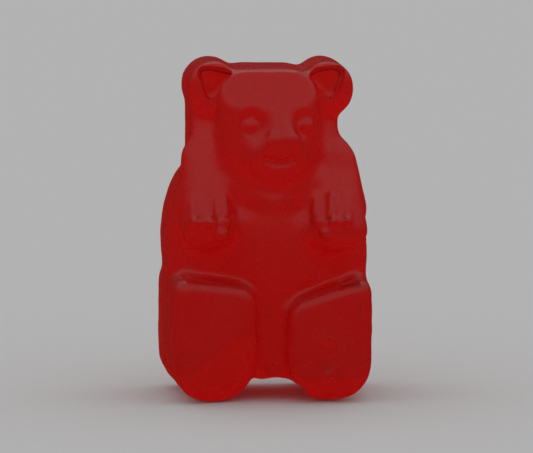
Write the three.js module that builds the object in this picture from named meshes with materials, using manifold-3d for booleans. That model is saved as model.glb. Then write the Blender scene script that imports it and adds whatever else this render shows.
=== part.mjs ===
// A gummy bear: one piece of jelly cast in a pressed starch mould.
//
// The back is the open side of the mould, so it is flat with a rolled edge and sinks a little in the middle.
// Everything else rises from it: walls that lean in so that the sweet leaves the mould, and a soft relief
// with dished ears, a face, arms hanging to two paws on the belly, and two big upright soles.
//
// Millimetres, +Z up. The bear faces -Y and stands on a flat under each foot, with the origin between them.
// Inside this file a place is (x, z, out): across, up, and out from the back towards the face.

import * as THREE from "three";
import { mergeVertices } from "three/addons/utils/BufferGeometryUtils.js";
import Module from "manifold-3d";

const wasm = await Module();
wasm.setup();

// Driving dimensions.
const HEIGHT = 22; // soles to ear tips
const WIDTH = 13.7; // across the hips
const DEPTH = 10.3; // back to soles

const HALF = WIDTH / 2;
const DRAFT = 0.025; // lean of the walls, per mm of depth
const BACK_ROLL = 1.5; // softness of the back's rolled edge
const BACK_SINK = 0.35; // how far the middle of the back sinks
const WORN = 0.18; // how far the round of each foot reaches below the flat it stands on
const SIDES = [-1, 1];

// Fillets where two forms run into each other.
const WIDE_FILLET = 1.2;
const SOFT_FILLET = 0.9;
const SMALL_FILLET = 0.6;
const CRISP_FILLET = 0.3;

// ---------------------------------------------------------------- distances and blends

const TINY = 1e-6; // keeps a division away from zero
const INNERMOST = 0.2; // share of an oval inside which its steepness is no longer followed

// The place across and up, turned into a form's own directions.
function ownAxes(p, { x, z, turn = 0 }) {
  const dx = p.x - x;
  const dz = p.z - z;
  return {
    across: dx * Math.cos(turn) + dz * Math.sin(turn),
    up: dz * Math.cos(turn) - dx * Math.sin(turn),
  };
}

// Signed distance to an ellipsoid, close to exact near its surface.
function ball(p, form) {
  const { wide, tall, deep } = form;
  const own = ownAxes(p, form);
  const q = new THREE.Vector3(own.across / wide, own.up / tall, (p.out - form.out) / deep);
  const k = q.length();
  const slope = new THREE.Vector3(q.x / wide, q.y / tall, q.z / deep).length();
  return (k * (k - 1)) / Math.max(slope, TINY);
}

// Signed distance to a wall-sided form that rises from the back: an oval in plan, leaning in with the draft,
// ending in a flat top whose edge is rounded by edge.
function pillar(p, form) {
  const { out, edge, power = 2, draft = DRAFT } = form;
  const lean = draft * Math.min(p.out, out);
  const wide = form.wide - lean;
  const tall = form.tall - lean;
  const own = ownAxes(p, form);
  const a = Math.abs(own.across) / wide;
  const b = Math.abs(own.up) / tall;
  const k = (a ** power + b ** power) ** (1 / power);
  const slope = Math.hypot(a ** (power - 1) / wide, b ** (power - 1) / tall);
  const side = ((k - 1) * Math.max(k, INNERMOST) ** (power - 1)) / Math.max(slope, TINY);
  const u = side + edge;
  const v = p.out - out + edge;
  return Math.min(Math.max(u, v), 0) + Math.hypot(Math.max(u, 0), Math.max(v, 0)) - edge;
}

// Signed distance to a limb that tapers from one round end to the other.
function limb(p, { from, to, thick, thin }) {
  const along = { x: to.x - from.x, z: to.z - from.z, out: to.out - from.out };
  const off = { x: p.x - from.x, z: p.z - from.z, out: p.out - from.out };
  const dot = off.x * along.x + off.z * along.z + off.out * along.out;
  const t = THREE.MathUtils.clamp(dot / (along.x ** 2 + along.z ** 2 + along.out ** 2), 0, 1);
  const gap = Math.hypot(off.x - along.x * t, off.z - along.z * t, off.out - along.out * t);
  return gap - THREE.MathUtils.lerp(thick, thin, t);
}

// Union with a fillet of about the given size, and its opposites.
function fuse(a, b, fillet) {
  const h = Math.max(fillet - Math.abs(a - b), 0) / fillet;
  return Math.min(a, b) - (h * h * fillet) / 4;
}
const keepInside = (a, b, fillet) => -fuse(-a, -b, fillet);
const hollow = (a, b, fillet) => keepInside(a, -b, fillet);

// ---------------------------------------------------------------- the forms

// A form on the left (-1) or right (1) of the bear. A shift moves both of a pair the same way.
function onSide(form, side) {
  return { ...form, x: form.x * side + (form.shift ?? 0), turn: (form.turn ?? 0) * side };
}

// The slab that everything grows from: trunk, hips, flanks and head, walled from back to front.
const TRUNK = { x: 0, z: 0.43 * HEIGHT, wide: 0.85 * HALF, tall: 0.32 * HEIGHT, out: 0.72 * DEPTH, edge: 2.4 };
const HIP_HALF = 0.18 * HEIGHT;
const HIP = { x: 3.4, z: HIP_HALF, wide: HALF - 3.4, tall: HIP_HALF + WORN, out: 0.74 * DEPTH, edge: 1.6 };
const FORK = { x: 0, z: 0.2 * HEIGHT, wide: 2.4, tall: 0.155 * HEIGHT, out: 0.86 * DEPTH, edge: 0.8 };
const FLANK = { x: 4.65, z: 0.48 * HEIGHT, wide: 1.95, tall: 4.6, out: 0.62 * DEPTH, edge: 1.5 };
const HEAD = {
  x: 0, z: 0.79 * HEIGHT, wide: 4.95, tall: 0.168 * HEIGHT, out: 0.62 * DEPTH, edge: 1.2, power: 3,
};
const EAR = {
  x: 3.6, shift: 0.15, z: 0.906 * HEIGHT, wide: 1.8, tall: 0.094 * HEIGHT, out: 0.655 * DEPTH, edge: 0.5,
};

function slab(p) {
  let d = fuse(pillar(p, TRUNK), pillar(p, HEAD), WIDE_FILLET);
  d = fuse(d, pillar(p, FORK), WIDE_FILLET);
  for (const side of SIDES) {
    d = fuse(d, pillar(p, onSide(FLANK, side)), WIDE_FILLET);
    d = fuse(d, pillar(p, onSide(HIP, side)), SOFT_FILLET);
    d = fuse(d, pillar(p, onSide(EAR, side)), SOFT_FILLET);
  }
  return d;
}

// The face: a mask standing off the head, cut to a flat forehead, with a blunt muzzle pushed to one side.
const MASK = { x: 0, z: 0.8 * HEIGHT, out: 0.52 * DEPTH, wide: 3.95, tall: 4.1, deep: 3.3 };
const FOREHEAD = { z: 0.92 * HEIGHT, out: 0.72 * DEPTH, tip: 0.75 }; // tip: angle that it faces above level
const MUZZLE = { x: 0.35, z: 0.722 * HEIGHT, wide: 2.65, tall: 2.35, out: 0.93 * DEPTH, edge: 1.5, draft: 0 };
const NOSE = { x: 0.5, z: 0.797 * HEIGHT, out: 0.885 * DEPTH, wide: 1.05, tall: 0.85, deep: 0.95 };
const MOUTH = { x: 0.5, z: 0.785 * HEIGHT, out: 0.93 * DEPTH, curve: 1.9, thick: 0.38, reach: 0.6 };
const LIP_FILLET = 0.2;

// Signed distance to the groove of the mouth: part of a ring that hangs in the face.
function smile(p, { x, z, out, curve, thick, reach }) {
  const angle = THREE.MathUtils.clamp(Math.atan2(p.x - x, z - p.z), -reach, reach);
  const dx = p.x - x - curve * Math.sin(angle);
  const dz = p.z - z + curve * Math.cos(angle);
  return Math.hypot(dx, dz, p.out - out) - thick;
}

function face(p) {
  const beyond = { z: p.z - FOREHEAD.z, out: p.out - FOREHEAD.out };
  const level = beyond.out * Math.cos(FOREHEAD.tip) + beyond.z * Math.sin(FOREHEAD.tip);
  let d = keepInside(ball(p, MASK), level, SMALL_FILLET);
  d = fuse(d, pillar(p, MUZZLE), SOFT_FILLET);
  d = fuse(d, ball(p, NOSE), SMALL_FILLET);
  return hollow(d, smile(p, MOUTH), LIP_FILLET);
}

// What is pressed into the head once the face is on it: two dished ears, and two sockets that hold the eyes.
const EAR_DISH = {
  x: 3.4, shift: 0.15, z: 0.937 * HEIGHT, out: 0.67 * DEPTH, wide: 1.2, tall: 1.05, deep: 1.25,
};
const SOCKET = { x: 1.75, shift: 0.15, z: 0.85 * HEIGHT, out: 0.86 * DEPTH, wide: 0.8, tall: 1, deep: 0.75 };
const EYE = { x: 1.75, shift: 0.15, z: 0.845 * HEIGHT, out: 0.765 * DEPTH, wide: 0.5, tall: 0.6, deep: 0.5 };

function pressed(d, p, side) {
  const dished = hollow(d, ball(p, onSide(EAR_DISH, side)), CRISP_FILLET);
  const sunk = hollow(dished, ball(p, onSide(SOCKET, side)), SMALL_FILLET);
  return fuse(sunk, ball(p, onSide(EYE, side)), CRISP_FILLET);
}

// The arms: from the shoulder out to an elbow on the flank, and down to a three-fingered paw on the belly.
const SHOULDER = { x: 4.0, shift: -0.1, z: 0.67 * HEIGHT, out: 0.56 * DEPTH };
const ELBOW = { x: 4.75, shift: -0.15, z: 0.545 * HEIGHT, out: 0.66 * DEPTH };
const WRIST = { x: 4.05, shift: -0.15, z: 0.58 * HEIGHT, out: 0.75 * DEPTH };
const ARM = { thick: 1.7, thin: 1.8 };
const FOREARM = { thick: 1.75, thin: 1.7 };
const PAW = { x: 3.8, shift: -0.2, z: 0.538 * HEIGHT, out: 0.78 * DEPTH, wide: 1.72, tall: 1.8, deep: 1.8 };
const FINGER = { spread: 1.05, thick: 0.5, top: 0.9, bottom: -0.6, out: 0.94 * DEPTH, outerDroop: 0.3 };
const KNUCKLE_FILLET = 0.2;

function arm(p, side) {
  const shoulder = onSide(SHOULDER, side);
  let d = limb(p, { from: shoulder, to: onSide(ELBOW, side), ...ARM });
  d = fuse(d, limb(p, { from: shoulder, to: onSide(WRIST, side), ...FOREARM }), SOFT_FILLET);
  const paw = onSide(PAW, side);
  d = fuse(d, ball(p, paw), SOFT_FILLET);
  for (const place of [-1, 0, 1]) {
    const x = paw.x + place * FINGER.spread;
    const out = FINGER.out - Math.abs(place) * FINGER.outerDroop;
    const from = { x, z: paw.z + FINGER.top, out };
    const to = { x, z: paw.z + FINGER.bottom, out };
    d = fuse(d, limb(p, { from, to, thick: FINGER.thick, thin: FINGER.thick }), KNUCKLE_FILLET);
  }
  return d;
}

// The legs end in big upright soles that splay outwards at the toes, each with a raised pad.
const FOOT_HALF = 4.15;
const FOOT = {
  x: 3.6, z: FOOT_HALF, wide: 2.9, tall: FOOT_HALF + WORN, out: 0.94 * DEPTH,
  edge: 1.5, turn: -0.13, power: 2.3, draft: 0,
};
const PAD = { x: 4.05, z: 5.0, wide: 2.2, tall: 2.75, out: DEPTH, edge: 0.6, turn: -0.45, draft: 0 };

function leg(p, side) {
  return fuse(pillar(p, onSide(FOOT, side)), pillar(p, onSide(PAD, side)), SMALL_FILLET);
}

const BELLY = { x: 0, z: 0.405 * HEIGHT, out: 0.48 * DEPTH, wide: 4.3, tall: 4.3, deep: 4.3 };

// Signed distance to the whole bear, before it is set down on its feet.
function bear(p) {
  let d = fuse(slab(p), ball(p, BELLY), WIDE_FILLET);
  d = fuse(d, face(p), SMALL_FILLET);
  for (const side of SIDES) {
    d = fuse(d, arm(p, side), SMALL_FILLET);
    d = fuse(d, leg(p, side), SMALL_FILLET);
    d = pressed(d, p, side);
  }
  const nearMiddle = Math.max(0, 1 - (p.x / HALF) ** 2) * Math.max(0, 1 - ((2 * p.z) / HEIGHT - 1) ** 2);
  return keepInside(d, BACK_SINK * nearMiddle - p.out, BACK_ROLL);
}

// ---------------------------------------------------------------- the skin

// A flattened capsule standing inside the bear, whose points are pushed out until they meet the surface. The
// rays run nearly side by side over the front and the back, so that they reach between arms, paws and feet.
const CORE = { low: 0.26 * HEIGHT, high: 0.78 * HEIGHT, out: 0.42 * DEPTH, wide: 0.6 * HALF };
const CORE_LENGTH = CORE.high - CORE.low;
const CAP_ROWS = 21;
const WALL_ROWS = 36;
const COLUMNS = 76;
const FRONT_CROWDING = 0.2; // share by which the columns crowd towards the front
const BEAM = 0.85; // how nearly side by side the rays run, up to 1
const STEP = 0.2; // of the walk out along a ray
const HALVINGS = 14;
const EASINGS = 8;
const SAME_POINT = 1e-4;

function pushOut(points) {
  for (let i = 0; i < points.count; i++) {
    // The capsule stands along its own Y, which is up, and its Z is out.
    const up = points.getY(i);
    const along = THREE.MathUtils.clamp(up, -CORE_LENGTH / 2, CORE_LENGTH / 2);
    const flat = Math.hypot(points.getX(i), points.getZ(i));
    const even = Math.atan2(points.getX(i), points.getZ(i));
    const turn = even - FRONT_CROWDING * Math.sin(even);
    const aim = turn - (BEAM * Math.sin(2 * turn)) / 2;
    const beside = CORE.wide * Math.sqrt(flat) * Math.sin(turn);
    const start = { x: beside, z: CORE.low + CORE_LENGTH / 2 + along, out: CORE.out };
    const ray = { x: flat * Math.sin(aim), z: up - along, out: flat * Math.cos(aim) };
    const at = (t) => ({ x: start.x + ray.x * t, z: start.z + ray.z * t, out: start.out + ray.out * t });
    let far = STEP;
    while (bear(at(far)) < 0) far += STEP;
    let near = far - STEP;
    for (let n = 0; n < HALVINGS; n++) {
      const middle = (near + far) / 2;
      if (bear(at(middle)) < 0) near = middle;
      else far = middle;
    }
    const met = at(near);
    points.setXYZ(i, met.x, met.z, met.out);
  }
}

const NUDGE = 1e-3; // over which the slope of the distance is taken
const FLATTEST = 0.25; // least slope, squared, that is trusted

// Draws a point back to the surface, straight down the slope of the distance.
function settle(v) {
  const d = bear({ x: v.x, z: v.y, out: v.z });
  const slope = new THREE.Vector3(
    bear({ x: v.x + NUDGE, z: v.y, out: v.z }) - d,
    bear({ x: v.x, z: v.y + NUDGE, out: v.z }) - d,
    bear({ x: v.x, z: v.y, out: v.z + NUDGE }) - d,
  ).divideScalar(NUDGE);
  return v.addScaledVector(slope, -d / Math.max(slope.lengthSq(), FLATTEST));
}

// Evens out the points: each moves half way to the middle of its neighbours, then back to the surface.
function ease(geometry) {
  const points = geometry.getAttribute("position");
  const index = geometry.getIndex();
  const sums = Array.from({ length: points.count }, () => new THREE.Vector3());
  const counts = new Uint16Array(points.count);
  const v = new THREE.Vector3();
  for (let k = 0; k < index.count; k++) {
    const next = k % 3 === 2 ? k - 2 : k + 1;
    sums[index.getX(k)].add(v.fromBufferAttribute(points, index.getX(next)));
    counts[index.getX(k)] += 1;
  }
  sums.forEach((sum, i) => {
    v.fromBufferAttribute(points, i).lerp(sum.divideScalar(counts[i]), 0.5);
    settle(settle(v));
    points.setXYZ(i, v.x, v.y, v.z);
  });
}

// Splits each four-sided patch along the diagonal that lies closer to the surface.
function splitWell(geometry) {
  const points = geometry.getAttribute("position");
  const index = geometry.getIndex();
  const a = new THREE.Vector3();
  const b = new THREE.Vector3();
  const miss = (i, j) => {
    a.fromBufferAttribute(points, i).add(b.fromBufferAttribute(points, j)).multiplyScalar(0.5);
    return Math.abs(bear({ x: a.x, z: a.y, out: a.z }));
  };
  for (let k = 0; k < index.count; k += 6) {
    const corners = [index.getX(k), index.getX(k + 1), index.getX(k + 4), index.getX(k + 2)];
    if (miss(corners[0], corners[2]) > miss(corners[1], corners[3])) continue;
    [0, 1, 2, 0, 2, 3].forEach((corner, n) => index.setX(k + n, corners[corner]));
  }
}

// Leaves only the places of the corners, with each corner held once.
function welded(geometry) {
  geometry.deleteAttribute("normal");
  geometry.deleteAttribute("uv");
  return mergeVertices(geometry, SAME_POINT);
}

function skin() {
  const geometry = welded(new THREE.CapsuleGeometry(1, CORE_LENGTH, CAP_ROWS, COLUMNS, WALL_ROWS));
  pushOut(geometry.getAttribute("position"));
  for (let n = 0; n < EASINGS; n++) ease(geometry);
  splitWell(geometry);
  // Up is Y and out is Z until here: stand the skin up along Z, facing -Y, its depth centred on the origin.
  geometry.rotateX(Math.PI / 2);
  geometry.computeBoundingBox();
  geometry.translate(0, -(geometry.boundingBox.min.y + geometry.boundingBox.max.y) / 2, 0);
  return geometry;
}

// ---------------------------------------------------------------- the part

function solid(geometry) {
  const mesh = new wasm.Mesh({
    numProp: 3,
    vertProperties: new Float32Array(geometry.getAttribute("position").array),
    triVerts: new Uint32Array(geometry.getIndex().array),
  });
  return new wasm.Manifold(mesh);
}

// Everything under the two flats that the bear stands on is taken off with one straight cut.
const below = new THREE.BoxGeometry(2 * WIDTH, 2 * DEPTH, HEIGHT).translate(0, 0, -HEIGHT / 2);
const standing = solid(skin()).subtract(solid(welded(below))).getMesh();
const shape = new THREE.BufferGeometry();
shape.setAttribute("position", new THREE.BufferAttribute(standing.vertProperties, 3));
shape.setIndex(new THREE.BufferAttribute(standing.triVerts, 1));
shape.computeVertexNormals();

const jelly = new THREE.MeshStandardMaterial({ color: 0xb01210, roughness: 0.3, metalness: 0 });
const body = new THREE.Mesh(shape, jelly);
body.name = "bear";

const gummyBear = new THREE.Group();
gummyBear.add(body);

export default gummyBear;
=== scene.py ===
"""A red gummy bear, standing by itself on a pale table under soft light."""
import math

import bpy
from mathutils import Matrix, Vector


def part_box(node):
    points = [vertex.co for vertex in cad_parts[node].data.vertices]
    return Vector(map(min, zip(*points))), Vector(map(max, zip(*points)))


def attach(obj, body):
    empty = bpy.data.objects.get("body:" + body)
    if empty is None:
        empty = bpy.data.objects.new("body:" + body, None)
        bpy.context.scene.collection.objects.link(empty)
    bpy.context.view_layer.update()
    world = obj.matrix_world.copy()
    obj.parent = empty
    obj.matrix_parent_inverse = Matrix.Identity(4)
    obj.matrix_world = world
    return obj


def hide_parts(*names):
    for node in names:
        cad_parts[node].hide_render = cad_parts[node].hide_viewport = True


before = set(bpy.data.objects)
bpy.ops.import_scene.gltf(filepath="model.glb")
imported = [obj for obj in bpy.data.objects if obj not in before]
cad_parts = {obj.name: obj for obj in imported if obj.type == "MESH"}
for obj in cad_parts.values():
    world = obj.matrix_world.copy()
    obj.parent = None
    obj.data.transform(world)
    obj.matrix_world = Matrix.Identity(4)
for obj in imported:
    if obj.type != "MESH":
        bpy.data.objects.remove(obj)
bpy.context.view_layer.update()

# ---------------------------------------------------------------- the slab
# A jelly bear is poured into a pressed mould from behind, so trunk, belly, flanks, collar and head are one
# slab. Its walls lean in towards the front, and every edge has run soft. Lengths are in millimetres, angles
# in radians. A slope is given by a point on it, and by how far it tips back from upright.
MM = 0.001
low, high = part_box("bear")
TALL = (high.z - low.z) / MM
HALF = (high.x - low.x) / 2 / MM
DEEP = (high.y - low.y) / MM
LEFT, RIGHT = -1, 1  # as seen from in front
SIDES = (LEFT, RIGHT)
LEAN = 0.025  # how far a wall leans in for each millimetre that it comes forward
AROUND = 72  # sides of a round wall
ROUNDING = 8  # steps of a rounded edge
HAIR = 0.0001 * MM  # less than this apart counts as level

TRUNK = {"x": 0, "z": 0.43 * TALL, "wide": 0.85 * HALF, "tall": 0.32 * TALL, "out": 0.76 * DEEP, "edge": 2.4}
CHEST_SLOPE = (0, 0.54 * TALL, 0.76 * DEEP)
CHEST_TIP = 0.42
HEAD = {
    "x": -0.2, "z": 0.78 * TALL, "wide": 4.95, "tall": 0.176 * TALL, "out": 0.78 * DEEP, "edge": 1.2,
    "top_corner": 2.2, "foot_corner": 2.2,
}
HEAD_SLOPE = (0, 0.7 * TALL, 0.7 * DEEP)
HEAD_TIP = 0.36
FLANK = {"x": 4.7, "z": 0.44 * TALL, "wide": 2.05, "tall": 5.45, "out": 0.67 * DEEP, "edge": 1.5}
FORK = {"x": 0.2, "z": 0.19 * TALL, "wide": 2.4, "tall": 0.16 * TALL, "out": 0.84 * DEEP, "edge": 0.8}
BELLY = {"x": 0.2, "z": 0.43 * TALL, "out": 0.46 * DEEP, "wide": 4.9, "tall": 6.0, "deep": 4.25}
COLLAR_MIDDLE = (0.3, 0.575 * TALL, 0.75 * DEEP)
COLLAR_END = (2.6, 0.64 * TALL, 0.7 * DEEP)  # counted across from the collar's middle
COLLAR_THICK = 0.95
BACK_ROLL = 0.8


def place(x, z, out):
    """Across, up, and out from the flat back towards the face."""
    return Vector((x * MM, high.y - out * MM, low.z + z * MM))


def only(*pieces):
    """Selects these objects and nothing else, and makes the first one active."""
    bpy.ops.object.select_all(action="DESELECT")
    for piece in pieces:
        piece.select_set(True)
    bpy.context.view_layer.objects.active = pieces[0]


def pick(piece, kind, wanted):
    """Goes into edit mode with only the wanted vertices, edges or faces selected."""
    only(piece)
    bpy.ops.object.mode_set(mode="EDIT")
    bpy.ops.mesh.select_mode(type=kind)
    bpy.ops.mesh.select_all(action="DESELECT")
    bpy.ops.object.mode_set(mode="OBJECT")
    parts = {"VERT": piece.data.vertices, "EDGE": piece.data.edges, "FACE": piece.data.polygons}[kind]
    for part in parts:
        part.select = wanted(part)
    bpy.ops.object.mode_set(mode="EDIT")


def cut_away(piece, point, facing):
    """Takes off, with one straight closed cut, all that lies beyond a plane."""
    pick(piece, "FACE", lambda face: True)
    bpy.ops.mesh.bisect(plane_co=point, plane_no=facing, use_fill=True, clear_outer=True, threshold=HAIR)
    bpy.ops.object.mode_set(mode="OBJECT")


def slope_back(piece, point, tip):
    """Cuts a piece to a front that leans back by this angle above a point."""
    cut_away(piece, place(*point), (0, -math.cos(tip), math.sin(tip)))


def soften_rims(piece, edge, across, up):
    """Draws the front face in, since the walls lean, then rounds its rim and the rim of the back."""
    front = min(vertex.co.y for vertex in piece.data.vertices)
    pick(piece, "FACE", lambda face: face.center.y < front + HAIR)
    bpy.ops.transform.resize(value=(1 - across, 1, 1 - up))
    bpy.ops.mesh.bevel(offset=edge * MM, segments=ROUNDING, affect="EDGES")
    bpy.ops.object.mode_set(mode="OBJECT")
    pick(piece, "FACE", lambda face: face.center.y > high.y - HAIR)
    bpy.ops.mesh.bevel(offset=BACK_ROLL * MM, segments=ROUNDING, affect="EDGES")
    bpy.ops.object.mode_set(mode="OBJECT")


def pillar(x, z, wide, tall, out, edge, turn=0):
    """An oval wall-sided form that rises from the back to a flat front with a round rim."""
    bpy.ops.mesh.primitive_cylinder_add(
        vertices=AROUND, radius=MM, depth=out * MM, location=place(x, z, out / 2),
        rotation=(math.pi / 2, -turn, 0), scale=(wide, tall, 1),
    )
    piece = bpy.context.object
    bpy.ops.object.transform_apply()
    soften_rims(piece, edge, LEAN * out / wide, LEAN * out / tall)
    return piece


def block(x, z, wide, tall, out, edge, top_corner, foot_corner, slant=0, lean=LEAN):
    """The same with four rounded corners instead of an oval outline, and a top that may rise to the right."""
    middle = place(x, z, out / 2)
    bpy.ops.mesh.primitive_cube_add(size=MM, location=middle, scale=(2 * wide, out, 2 * tall))
    piece = bpy.context.object
    bpy.ops.object.transform_apply()
    for side in SIDES:
        pick(piece, "VERT", lambda vertex: vertex.co.z > middle.z and (vertex.co.x - middle.x) * side > 0)
        bpy.ops.transform.translate(value=(0, 0, side * slant * MM))
        bpy.ops.object.mode_set(mode="OBJECT")

    def at_corner(line, upper):
        """Whether an edge runs from front to back along an upper or a lower corner."""
        one, other = (piece.data.vertices[number].co for number in line.vertices)
        return abs(one.y - other.y) > HAIR and (one.z > middle.z) == upper

    for upper, corner in ((True, top_corner), (False, foot_corner)):
        pick(piece, "EDGE", lambda line: at_corner(line, upper))
        bpy.ops.mesh.bevel(offset=corner * MM, segments=2 * ROUNDING, affect="EDGES")
        bpy.ops.object.mode_set(mode="OBJECT")
    soften_rims(piece, edge, lean * out / wide, LEAN * out / tall)
    return piece


def ball(x, z, out, wide, tall, deep, turn=0):
    """A rounded swelling, given by its three half widths."""
    bpy.ops.mesh.primitive_uv_sphere_add(
        segments=48, ring_count=24, radius=MM, location=place(x, z, out),
        rotation=(0, -turn, 0), scale=(wide, deep, tall),
    )
    piece = bpy.context.object
    bpy.ops.object.transform_apply()
    return piece


def limb(start, end, first, last, flat=1):
    """A round-ended limb: a ball, flattened if wanted, whose far half is drawn out to the other end."""
    reach = end - start
    bpy.ops.mesh.primitive_uv_sphere_add(
        segments=40, ring_count=20, radius=first * MM, location=start,
        rotation=reach.to_track_quat("Z", "Y").to_euler(), scale=(1, flat, flat),
    )
    piece = bpy.context.object
    bpy.ops.object.transform_apply()
    pick(piece, "VERT", lambda vertex: (vertex.co - start).dot(reach) > 0)
    bpy.ops.transform.translate(value=reach)
    bpy.ops.transform.resize(value=(last / first,) * 3, center_override=end)
    bpy.ops.object.mode_set(mode="OBJECT")
    return piece


def on_side(form, side, shift=0):
    """A form given for the right side, put on the left or the right."""
    moved = dict(form, x=form["x"] * side + shift)
    if "turn" in form:
        moved["turn"] = form["turn"] * side
    return moved


head = block(**HEAD)
slope_back(head, HEAD_SLOPE, HEAD_TIP)
trunk = pillar(**TRUNK)
slope_back(trunk, CHEST_SLOPE, CHEST_TIP)
slab = [head, trunk, pillar(**FORK), ball(**BELLY)]
for side in SIDES:
    slab.append(pillar(**on_side(FLANK, side)))
    collar_end = place(side * COLLAR_END[0] + COLLAR_MIDDLE[0], *COLLAR_END[1:])
    slab.append(limb(place(*COLLAR_MIDDLE), collar_end, COLLAR_THICK, COLLAR_THICK))

# ---------------------------------------------------------------- the arms
# Each arm hangs from the shoulder over the flank. Its forearm is a broad flattened slope that comes forward
# to a paw on the belly.
ARM_SHIFT = 0.1
SHOULDER = (3.95, 0.7 * TALL, 0.55 * DEEP)
ELBOW = (4.65, 0.56 * TALL, 0.62 * DEEP)
UPPER_ARM_THICK = (1.7, 1.75)
FOREARM = {LEFT: ((-4.0, 15.8, 5.9), (-3.95, 11.3, 8.2)), RIGHT: ((4.1, 15.5, 5.95), (4.15, 10.95, 8.3))}
FOREARM_THICK = {LEFT: (1.75, 1.95), RIGHT: (1.8, 2.25)}
FOREARM_FLAT = {LEFT: 0.72, RIGHT: 0.6}
PAW = {"x": 4.1, "z": 0.51 * TALL, "out": 0.74 * DEEP, "wide": 1.85, "tall": 1.6, "deep": 1.95}
for side in SIDES:
    upper_arm = [place(point[0] * side + ARM_SHIFT, *point[1:]) for point in (SHOULDER, ELBOW)]
    forearm = [place(*point) for point in FOREARM[side]]
    slab.append(limb(*upper_arm, *UPPER_ARM_THICK))
    slab.append(ball(**on_side(PAW, side, ARM_SHIFT)))
    slab.append(limb(*forearm, *FOREARM_THICK[side], FOREARM_FLAT[side]))

# ---------------------------------------------------------------- the head
# A mask stands off the head, square at the brow and narrow at the chin, cut back to a broad flat forehead. A
# bridge runs from the brow to a soft round nose, over a blunt muzzle whose chin falls back under the mouth.
# Once they are on, slab, arms and head run together into one skin.
MASK = {
    "x": -0.05, "z": 0.8 * TALL, "wide": 3.55, "tall": 3.95, "out": 0.82 * DEEP, "edge": 1.4,
    "top_corner": 2.0, "foot_corner": 2.6,
}
FOREHEAD = (0, 0.925 * TALL, 0.72 * DEEP)
FOREHEAD_TIP = 0.64
BRIDGE = ((0.2, 0.875 * TALL, 0.7 * DEEP), (0.75, 0.785 * TALL, 0.84 * DEEP))
BRIDGE_THICK = (1.0, 0.9)
NOSE = {"x": 0.8, "z": 0.766 * TALL, "out": 0.875 * DEEP, "wide": 1.35, "tall": 0.92, "deep": 1.0}
MUZZLE = {"x": 0.45, "z": 0.718 * TALL, "wide": 2.6, "tall": 2.3, "out": 0.92 * DEEP, "edge": 1.9}
CHIN = (0, 0.725 * TALL, 0.92 * DEEP)
CHIN_TIP = -0.42


def finish_with(piece, kind, **settings):
    """Puts a modifier on a piece and applies it at once."""
    modifier = piece.modifiers.new(kind.title(), kind)
    for name, value in settings.items():
        setattr(modifier, name, value)
    only(piece)
    bpy.ops.object.modifier_apply(modifier=modifier.name)


def run_together(pieces, grain, rubs):
    """Joins overlapping pieces into one skin of even faces, then rubs its creases soft."""
    only(*pieces)
    bpy.ops.object.join()
    joined = bpy.context.object
    finish_with(joined, "REMESH", mode="VOXEL", voxel_size=grain * MM)
    finish_with(joined, "SMOOTH", factor=0.5, iterations=rubs)
    return joined


mask = block(**MASK)
slope_back(mask, FOREHEAD, FOREHEAD_TIP)
muzzle = pillar(**MUZZLE)
slope_back(muzzle, CHIN, CHIN_TIP)
bridge = limb(*(place(*point) for point in BRIDGE), *BRIDGE_THICK)
bear = run_together([*slab, mask, muzzle, bridge, ball(**NOSE)], grain=0.17, rubs=24)

# ---------------------------------------------------------------- the legs and the ears
# Two legs point straight at you and end in big upright soles, square at the top and round at the heel, with
# an arch between them. Both heels are rounded off below, and the left one also towards the middle. The ears
# are round bars that run from the back to beside the forehead. The poured back has sunk a little as it set.
SOLE = 0.985 * DEEP
WORN = 0.18  # how far the round of each foot reaches below the flat it stands on
FOOT_HALF = {LEFT: 4.0, RIGHT: 3.72}
FOOT_SLANT = {LEFT: -0.35, RIGHT: 0.9}
FOOT = {
    "x": 3.7, "wide": 3.2, "out": SOLE, "edge": 0.85, "top_corner": 1.3, "foot_corner": 2.8, "lean": 0.045,
}
HEEL_ROUND = 2.1
HEEL_TIPS = (-0.5, -1.05)
HEEL_BEVEL = (-3.5, 3.5, SOLE)
HEEL_FACING = (0.26, -0.906, -0.333)
EAR_SHIFT = 0.22
EAR = {"x": 3.7, "z": 0.909 * TALL, "wide": 1.9, "tall": 0.091 * TALL, "out": 0.63 * DEEP, "edge": 0.6}
BACK_SINK = {"x": 0, "z": 0.45 * TALL, "out": -1.3, "wide": 5.0, "tall": 8.8, "deep": 1.65}
ARCH = (0.42, 0, 0.5 * DEEP)
ARCH_WIDE = 1.95
ARCH_TALL = 1.45


def press_out(body, tool):
    """Cuts the tool's shape out of the body and throws the tool away."""
    finish_with(body, "BOOLEAN", operation="DIFFERENCE", solver="MANIFOLD", object=tool)
    bpy.data.objects.remove(tool)


feet = {}
for side in SIDES:
    half = FOOT_HALF[side]
    feet[side] = block(**on_side(FOOT, side), z=half, tall=half + WORN, slant=FOOT_SLANT[side])
    for tip in HEEL_TIPS:
        touch = (0, HEEL_ROUND * (1 + math.sin(tip)), SOLE - HEEL_ROUND * (1 - math.cos(tip)))
        slope_back(feet[side], touch, tip)
cut_away(feet[LEFT], place(*HEEL_BEVEL), HEEL_FACING)
ears = [pillar(**on_side(EAR, side, EAR_SHIFT)) for side in SIDES]
bear = run_together([bear, *feet.values(), *ears], grain=0.15, rubs=7)
press_out(bear, ball(**BACK_SINK))
bpy.ops.mesh.primitive_cylinder_add(
    vertices=AROUND, radius=MM, depth=2 * DEEP * MM, location=place(*ARCH),
    rotation=(math.pi / 2, 0, 0), scale=(ARCH_WIDE, ARCH_TALL, 1),
)
press_out(bear, bpy.context.object)

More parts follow.
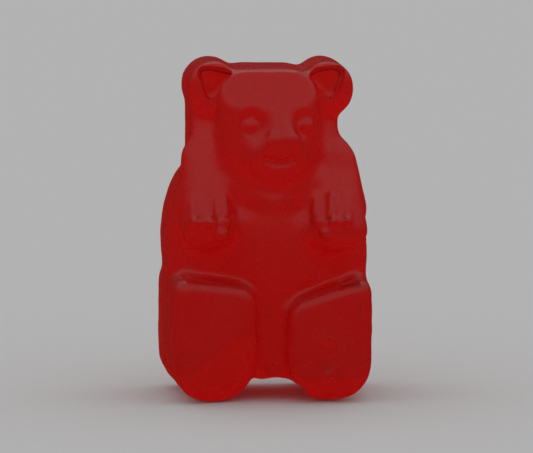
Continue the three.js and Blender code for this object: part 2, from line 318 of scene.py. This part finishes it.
# ---------------------------------------------------------------- eyes, mouth, ear dishes, fingers and pad
# The small forms are the crispest of the mould: a thumb and three fingers with blunt nails that run down the
# slope of each paw, a shallow pad on the right sole, ears dished to a thin rim, a thin smile, and eyes that
# stand in sunk sockets.
THUMB = {"x": 3.35, "z": 10.95, "out": 9.5, "wide": 0.55, "tall": 0.48, "deep": 0.52}
FINGER_X = {LEFT: -3.95, RIGHT: 3.85}
FINGER_SPREAD = 0.95
FINGER_DROOP = {LEFT: 0.28, RIGHT: 0.3}
KNUCKLE = (13.2, 8.42)
FINGERTIP = (11.75, 9.3)
FINGER_THICK = (0.36, 0.46)
NAIL = {"z": 11.7, "out": 9.58, "wide": 0.42, "tall": 0.45, "deep": 0.5}
PAD = {"x": 3.5, "z": 3.05, "out": SOLE, "wide": 1.35, "tall": 1.6, "deep": 0.14}
PAD_DIP = {"x": 3.45, "z": 3.0, "out": DEEP, "wide": 0.85, "tall": 1.05, "deep": 0.22}
EAR_DISH = {"x": 3.7, "z": 0.936 * TALL, "out": 0.63 * DEEP, "wide": 1.95, "deep": 1.3}
EAR_DISH_NARROWS = 0.55  # what is left of its width at the end in front of the ear
EAR_DISH_TURN = 0.16
EAR_DISH_ROUND = 0.6
EYE_SHIFT = 0.5
SOCKET = {
    "x": 1.8, "z": 0.82 * TALL, "out": 0.87 * DEEP, "wide": 0.9, "tall": 1.15, "deep": 0.86, "turn": 0.2,
}
EYE = {"x": 1.8, "z": 0.808 * TALL, "out": 0.78 * DEEP, "wide": 0.58, "tall": 0.52, "deep": 0.5}
SMILE = (0.5, 0.763 * TALL, 0.952 * DEEP)
SMILE_CURVE = 1.5
SMILE_REACH = 0.8
SMILE_THICK = 0.3


def ear_dish(x, z, out, wide, deep, side):
    """A rounded triangle, point down, that is pressed into an ear."""
    bpy.ops.mesh.primitive_cone_add(
        vertices=3, radius1=wide * MM, radius2=EAR_DISH_NARROWS * wide * MM, depth=deep * MM,
        location=place(x, z, out), rotation=(-math.pi / 2, EAR_DISH_TURN * side, math.pi),
    )
    piece = bpy.context.object
    bpy.ops.object.transform_apply()
    pick(piece, "EDGE", lambda line: True)
    bpy.ops.mesh.bevel(offset=EAR_DISH_ROUND * MM, segments=ROUNDING, affect="EDGES")
    bpy.ops.object.mode_set(mode="OBJECT")
    return piece


small = [ball(**PAD)]
for side in SIDES:
    small.append(ball(**on_side(THUMB, side, ARM_SHIFT)))
    for number in (-1, 0, 1):
        across = FINGER_X[side] + number * FINGER_SPREAD
        droop = abs(number) * FINGER_DROOP[side]
        finger = [place(across, z, out - droop) for z, out in (KNUCKLE, FINGERTIP)]
        nail = dict(NAIL, x=across, out=NAIL["out"] - droop)
        small += [limb(*finger, *FINGER_THICK), ball(**nail)]
bear = run_together([bear, *small], grain=0.13, rubs=2)

for side in SIDES:
    press_out(bear, ear_dish(**on_side(EAR_DISH, side, EAR_SHIFT), side=side))
    press_out(bear, ball(**on_side(SOCKET, side, EYE_SHIFT)))
press_out(bear, ball(**PAD_DIP))

bpy.ops.mesh.primitive_torus_add(
    location=place(*SMILE), rotation=(math.pi / 2 - CHIN_TIP, 0, 0), major_segments=64, minor_segments=16,
    major_radius=SMILE_CURVE * MM, minor_radius=SMILE_THICK * MM,
)
smile = bpy.context.object
bpy.ops.object.transform_apply()
for side in SIDES:
    cut_away(smile, place(*SMILE), (side * math.cos(SMILE_REACH), 0, math.sin(SMILE_REACH)))
press_out(bear, smile)

eyes = [ball(**on_side(EYE, side, EYE_SHIFT)) for side in SIDES]
bear = run_together([bear, *eyes], grain=0.12, rubs=9)

# ---------------------------------------------------------------- the skin
# Starch moulds are never even: the skin has shallow hollows and swellings all over, slow ones and quick ones,
# each with its span and its lift. The bear stands on a small flat under each foot.
UNEVEN = {"slow": (3.0, 0.16), "quick": (1.0, 0.045)}
SINK = 0.9  # the share of the lift that goes inwards, at the most
for name, (span, lift) in UNEVEN.items():
    ripple = bpy.data.textures.new(f"{name}_ripple", type="CLOUDS")
    ripple.noise_scale = span * MM
    finish_with(bear, "DISPLACE", texture=ripple, texture_coords="LOCAL", strength=lift * MM, mid_level=SINK)
cut_away(bear, Vector((0, 0, low.z)), (0, 0, -1))
bear.name = bear.data.name = "jelly_bear"
only(bear)
bpy.ops.object.shade_smooth()

# ---------------------------------------------------------------- the jelly
# Gelatine dyed deep red: light goes in and comes out red, and thin places glow. Its soft oiled gloss is
# smeared here and there, and finely dimpled like peel.
JELLY = {
    "Base Color": (0.88, 0.19, 0.17, 1), "IOR": 1.42, "Specular IOR Level": 0.25, "Transmission Weight": 0.95,
    "Coat Weight": 0.6, "Coat Roughness": 0.06, "Coat IOR": 1.42,
}
DYE = {"Color": (0.968, 0.054, 0.05, 1), "Density": 830}
SMEAR_SPAN = 2.5
MATT = {"From Min": 0.3, "From Max": 0.7, "To Min": 0.2, "To Max": 0.32}
DIMPLE_SPAN = 0.7
PEEL = {"Strength": 0.6, "Distance": 0.02 * MM}


def new_finish(name):
    """Makes a material, and gives it with its nodes and the links between them."""
    finish = bpy.data.materials.new(name)
    finish.use_nodes = True
    return finish, finish.node_tree.nodes, finish.node_tree.links


def dial(node, amounts):
    """Sets a node's inputs by their names."""
    for name, amount in amounts.items():
        node.inputs[name].default_value = amount


jelly, nodes, links = new_finish("red_jelly")
shader = nodes["Principled BSDF"]
dial(shader, JELLY)
spot = nodes.new("ShaderNodeTexCoord")
smears = nodes.new("ShaderNodeTexNoise")
dial(smears, {"Scale": 1 / (SMEAR_SPAN * MM), "Detail": 3})
matt = nodes.new("ShaderNodeMapRange")
dial(matt, MATT)
dimples = nodes.new("ShaderNodeTexNoise")
dial(dimples, {"Scale": 1 / (DIMPLE_SPAN * MM), "Detail": 1})
peel = nodes.new("ShaderNodeBump")
dial(peel, PEEL)
for pattern in (smears, dimples):
    links.new(spot.outputs["Object"], pattern.inputs["Vector"])
links.new(smears.outputs["Fac"], matt.inputs["Value"])
links.new(matt.outputs["Result"], shader.inputs["Roughness"])
links.new(dimples.outputs["Fac"], peel.inputs["Height"])
links.new(peel.outputs["Normal"], shader.inputs["Normal"])
links.new(peel.outputs["Normal"], shader.inputs["Coat Normal"])
dye = nodes.new("ShaderNodeVolumeAbsorption")
dial(dye, DYE)
links.new(dye.outputs["Volume"], nodes["Material Output"].inputs["Volume"])
bear.data.materials.clear()
bear.data.materials.append(jelly)
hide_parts("bear")
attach(bear, "root")

# ---------------------------------------------------------------- the table
# A wide pale matt table, far larger than the view. The bear's gloss doesn't mirror it. From here on, lengths
# are in metres.
TABLE_REACH = 6
PAINT = {"Base Color": (0.86, 0.86, 0.86, 1), "Roughness": 0.9, "Specular IOR Level": 0}
bpy.ops.mesh.primitive_circle_add(vertices=64, radius=TABLE_REACH, fill_type="NGON", location=(0, 0, 0))
table = bpy.context.object
table.name = "table"
paint, nodes, links = new_finish("pale_table")
dial(nodes["Principled BSDF"], PAINT)
table.data.materials.append(paint)
table.visible_glossy = False

# ---------------------------------------------------------------- the light
# An even pale tent lights everything. Only mirror reflections see the dome, which is red and dim below and
# paler above, and the softbox over the bear, so the gloss shows what comes from above.
TENT = {"Color": (0.52, 0.52, 0.52, 1), "Strength": 1.0}
DOME_REACH = 1.0
GLOW = (
    (0.0, (0.25, 0.009, 0.007, 1)), (0.28, (0.24, 0.03, 0.03, 1)), (0.5, (0.22, 0.16, 0.16, 1)),
    (0.76, (0.2, 0.34, 0.34, 1)), (1.0, (0.14, 0.23, 0.23, 1)),
)  # colours by height, from the table up to the top of the dome
BOX_AT = Vector((0, 0.42, 0.8))
BOX_WIDE = 0.5
LAMP = {"Base Color": (0, 0, 0, 1), "Emission Color": (1, 1, 1, 1), "Emission Strength": 0.6}
bpy.ops.mesh.primitive_uv_sphere_add(segments=64, ring_count=32, radius=DOME_REACH, location=(0, 0, 0))
dome = bpy.context.object
dome.name = "glow_dome"
glow, nodes, links = new_finish("graded_glow")
nodes.remove(nodes["Principled BSDF"])
spot = nodes.new("ShaderNodeTexCoord")
height = nodes.new("ShaderNodeSeparateXYZ")
grade = nodes.new("ShaderNodeValToRGB")
light = nodes.new("ShaderNodeEmission")
while len(grade.color_ramp.elements) < len(GLOW):
    grade.color_ramp.elements.new(1)
for element, (position, colour) in zip(grade.color_ramp.elements, GLOW):
    element.position = position
    element.color = colour
links.new(spot.outputs["Object"], height.inputs["Vector"])
links.new(height.outputs["Z"], grade.inputs["Fac"])
links.new(grade.outputs["Color"], light.inputs["Color"])
links.new(light.outputs["Emission"], nodes["Material Output"].inputs["Surface"])
dome.data.materials.append(glow)

bpy.ops.mesh.primitive_plane_add(
    size=BOX_WIDE, location=BOX_AT, rotation=(-BOX_AT).to_track_quat("Z", "Y").to_euler(),
)
softbox = bpy.context.object
softbox.name = "softbox"
lamp, nodes, links = new_finish("softbox_light")
dial(nodes["Principled BSDF"], LAMP)
softbox.data.materials.append(lamp)
for card in (dome, softbox):
    card.visible_camera = card.visible_diffuse = card.visible_transmission = False
    card.visible_volume_scatter = card.visible_shadow = False

scene = bpy.context.scene
scene.view_settings.view_transform = "Standard"
scene.world = bpy.data.worlds.new("tent")
scene.world.use_nodes = True
dial(scene.world.node_tree.nodes["Background"], TENT)

# ---------------------------------------------------------------- the camera
# A long lens looks at the middle of the bear from in front, a little from the left and a little from above,
# so that the bear takes up most of the view's height.
AZIMUTH = math.radians(-5)
ELEVATION = math.radians(6)
DISTANCE = 0.24
LENS = 250  # its focal length, in millimetres
NEAREST = 0.01
FURTHEST = 20
middle = (low + high) / 2
toward = Vector((
    math.sin(AZIMUTH) * math.cos(ELEVATION),
    -math.cos(AZIMUTH) * math.cos(ELEVATION),
    math.sin(ELEVATION),
))
bpy.ops.object.camera_add(location=middle + toward * DISTANCE)
camera = bpy.context.object
camera.rotation_euler = (-toward).to_track_quat("-Z", "Y").to_euler()
camera.data.lens = LENS
camera.data.clip_start = NEAREST
camera.data.clip_end = FURTHEST
scene.camera = camera
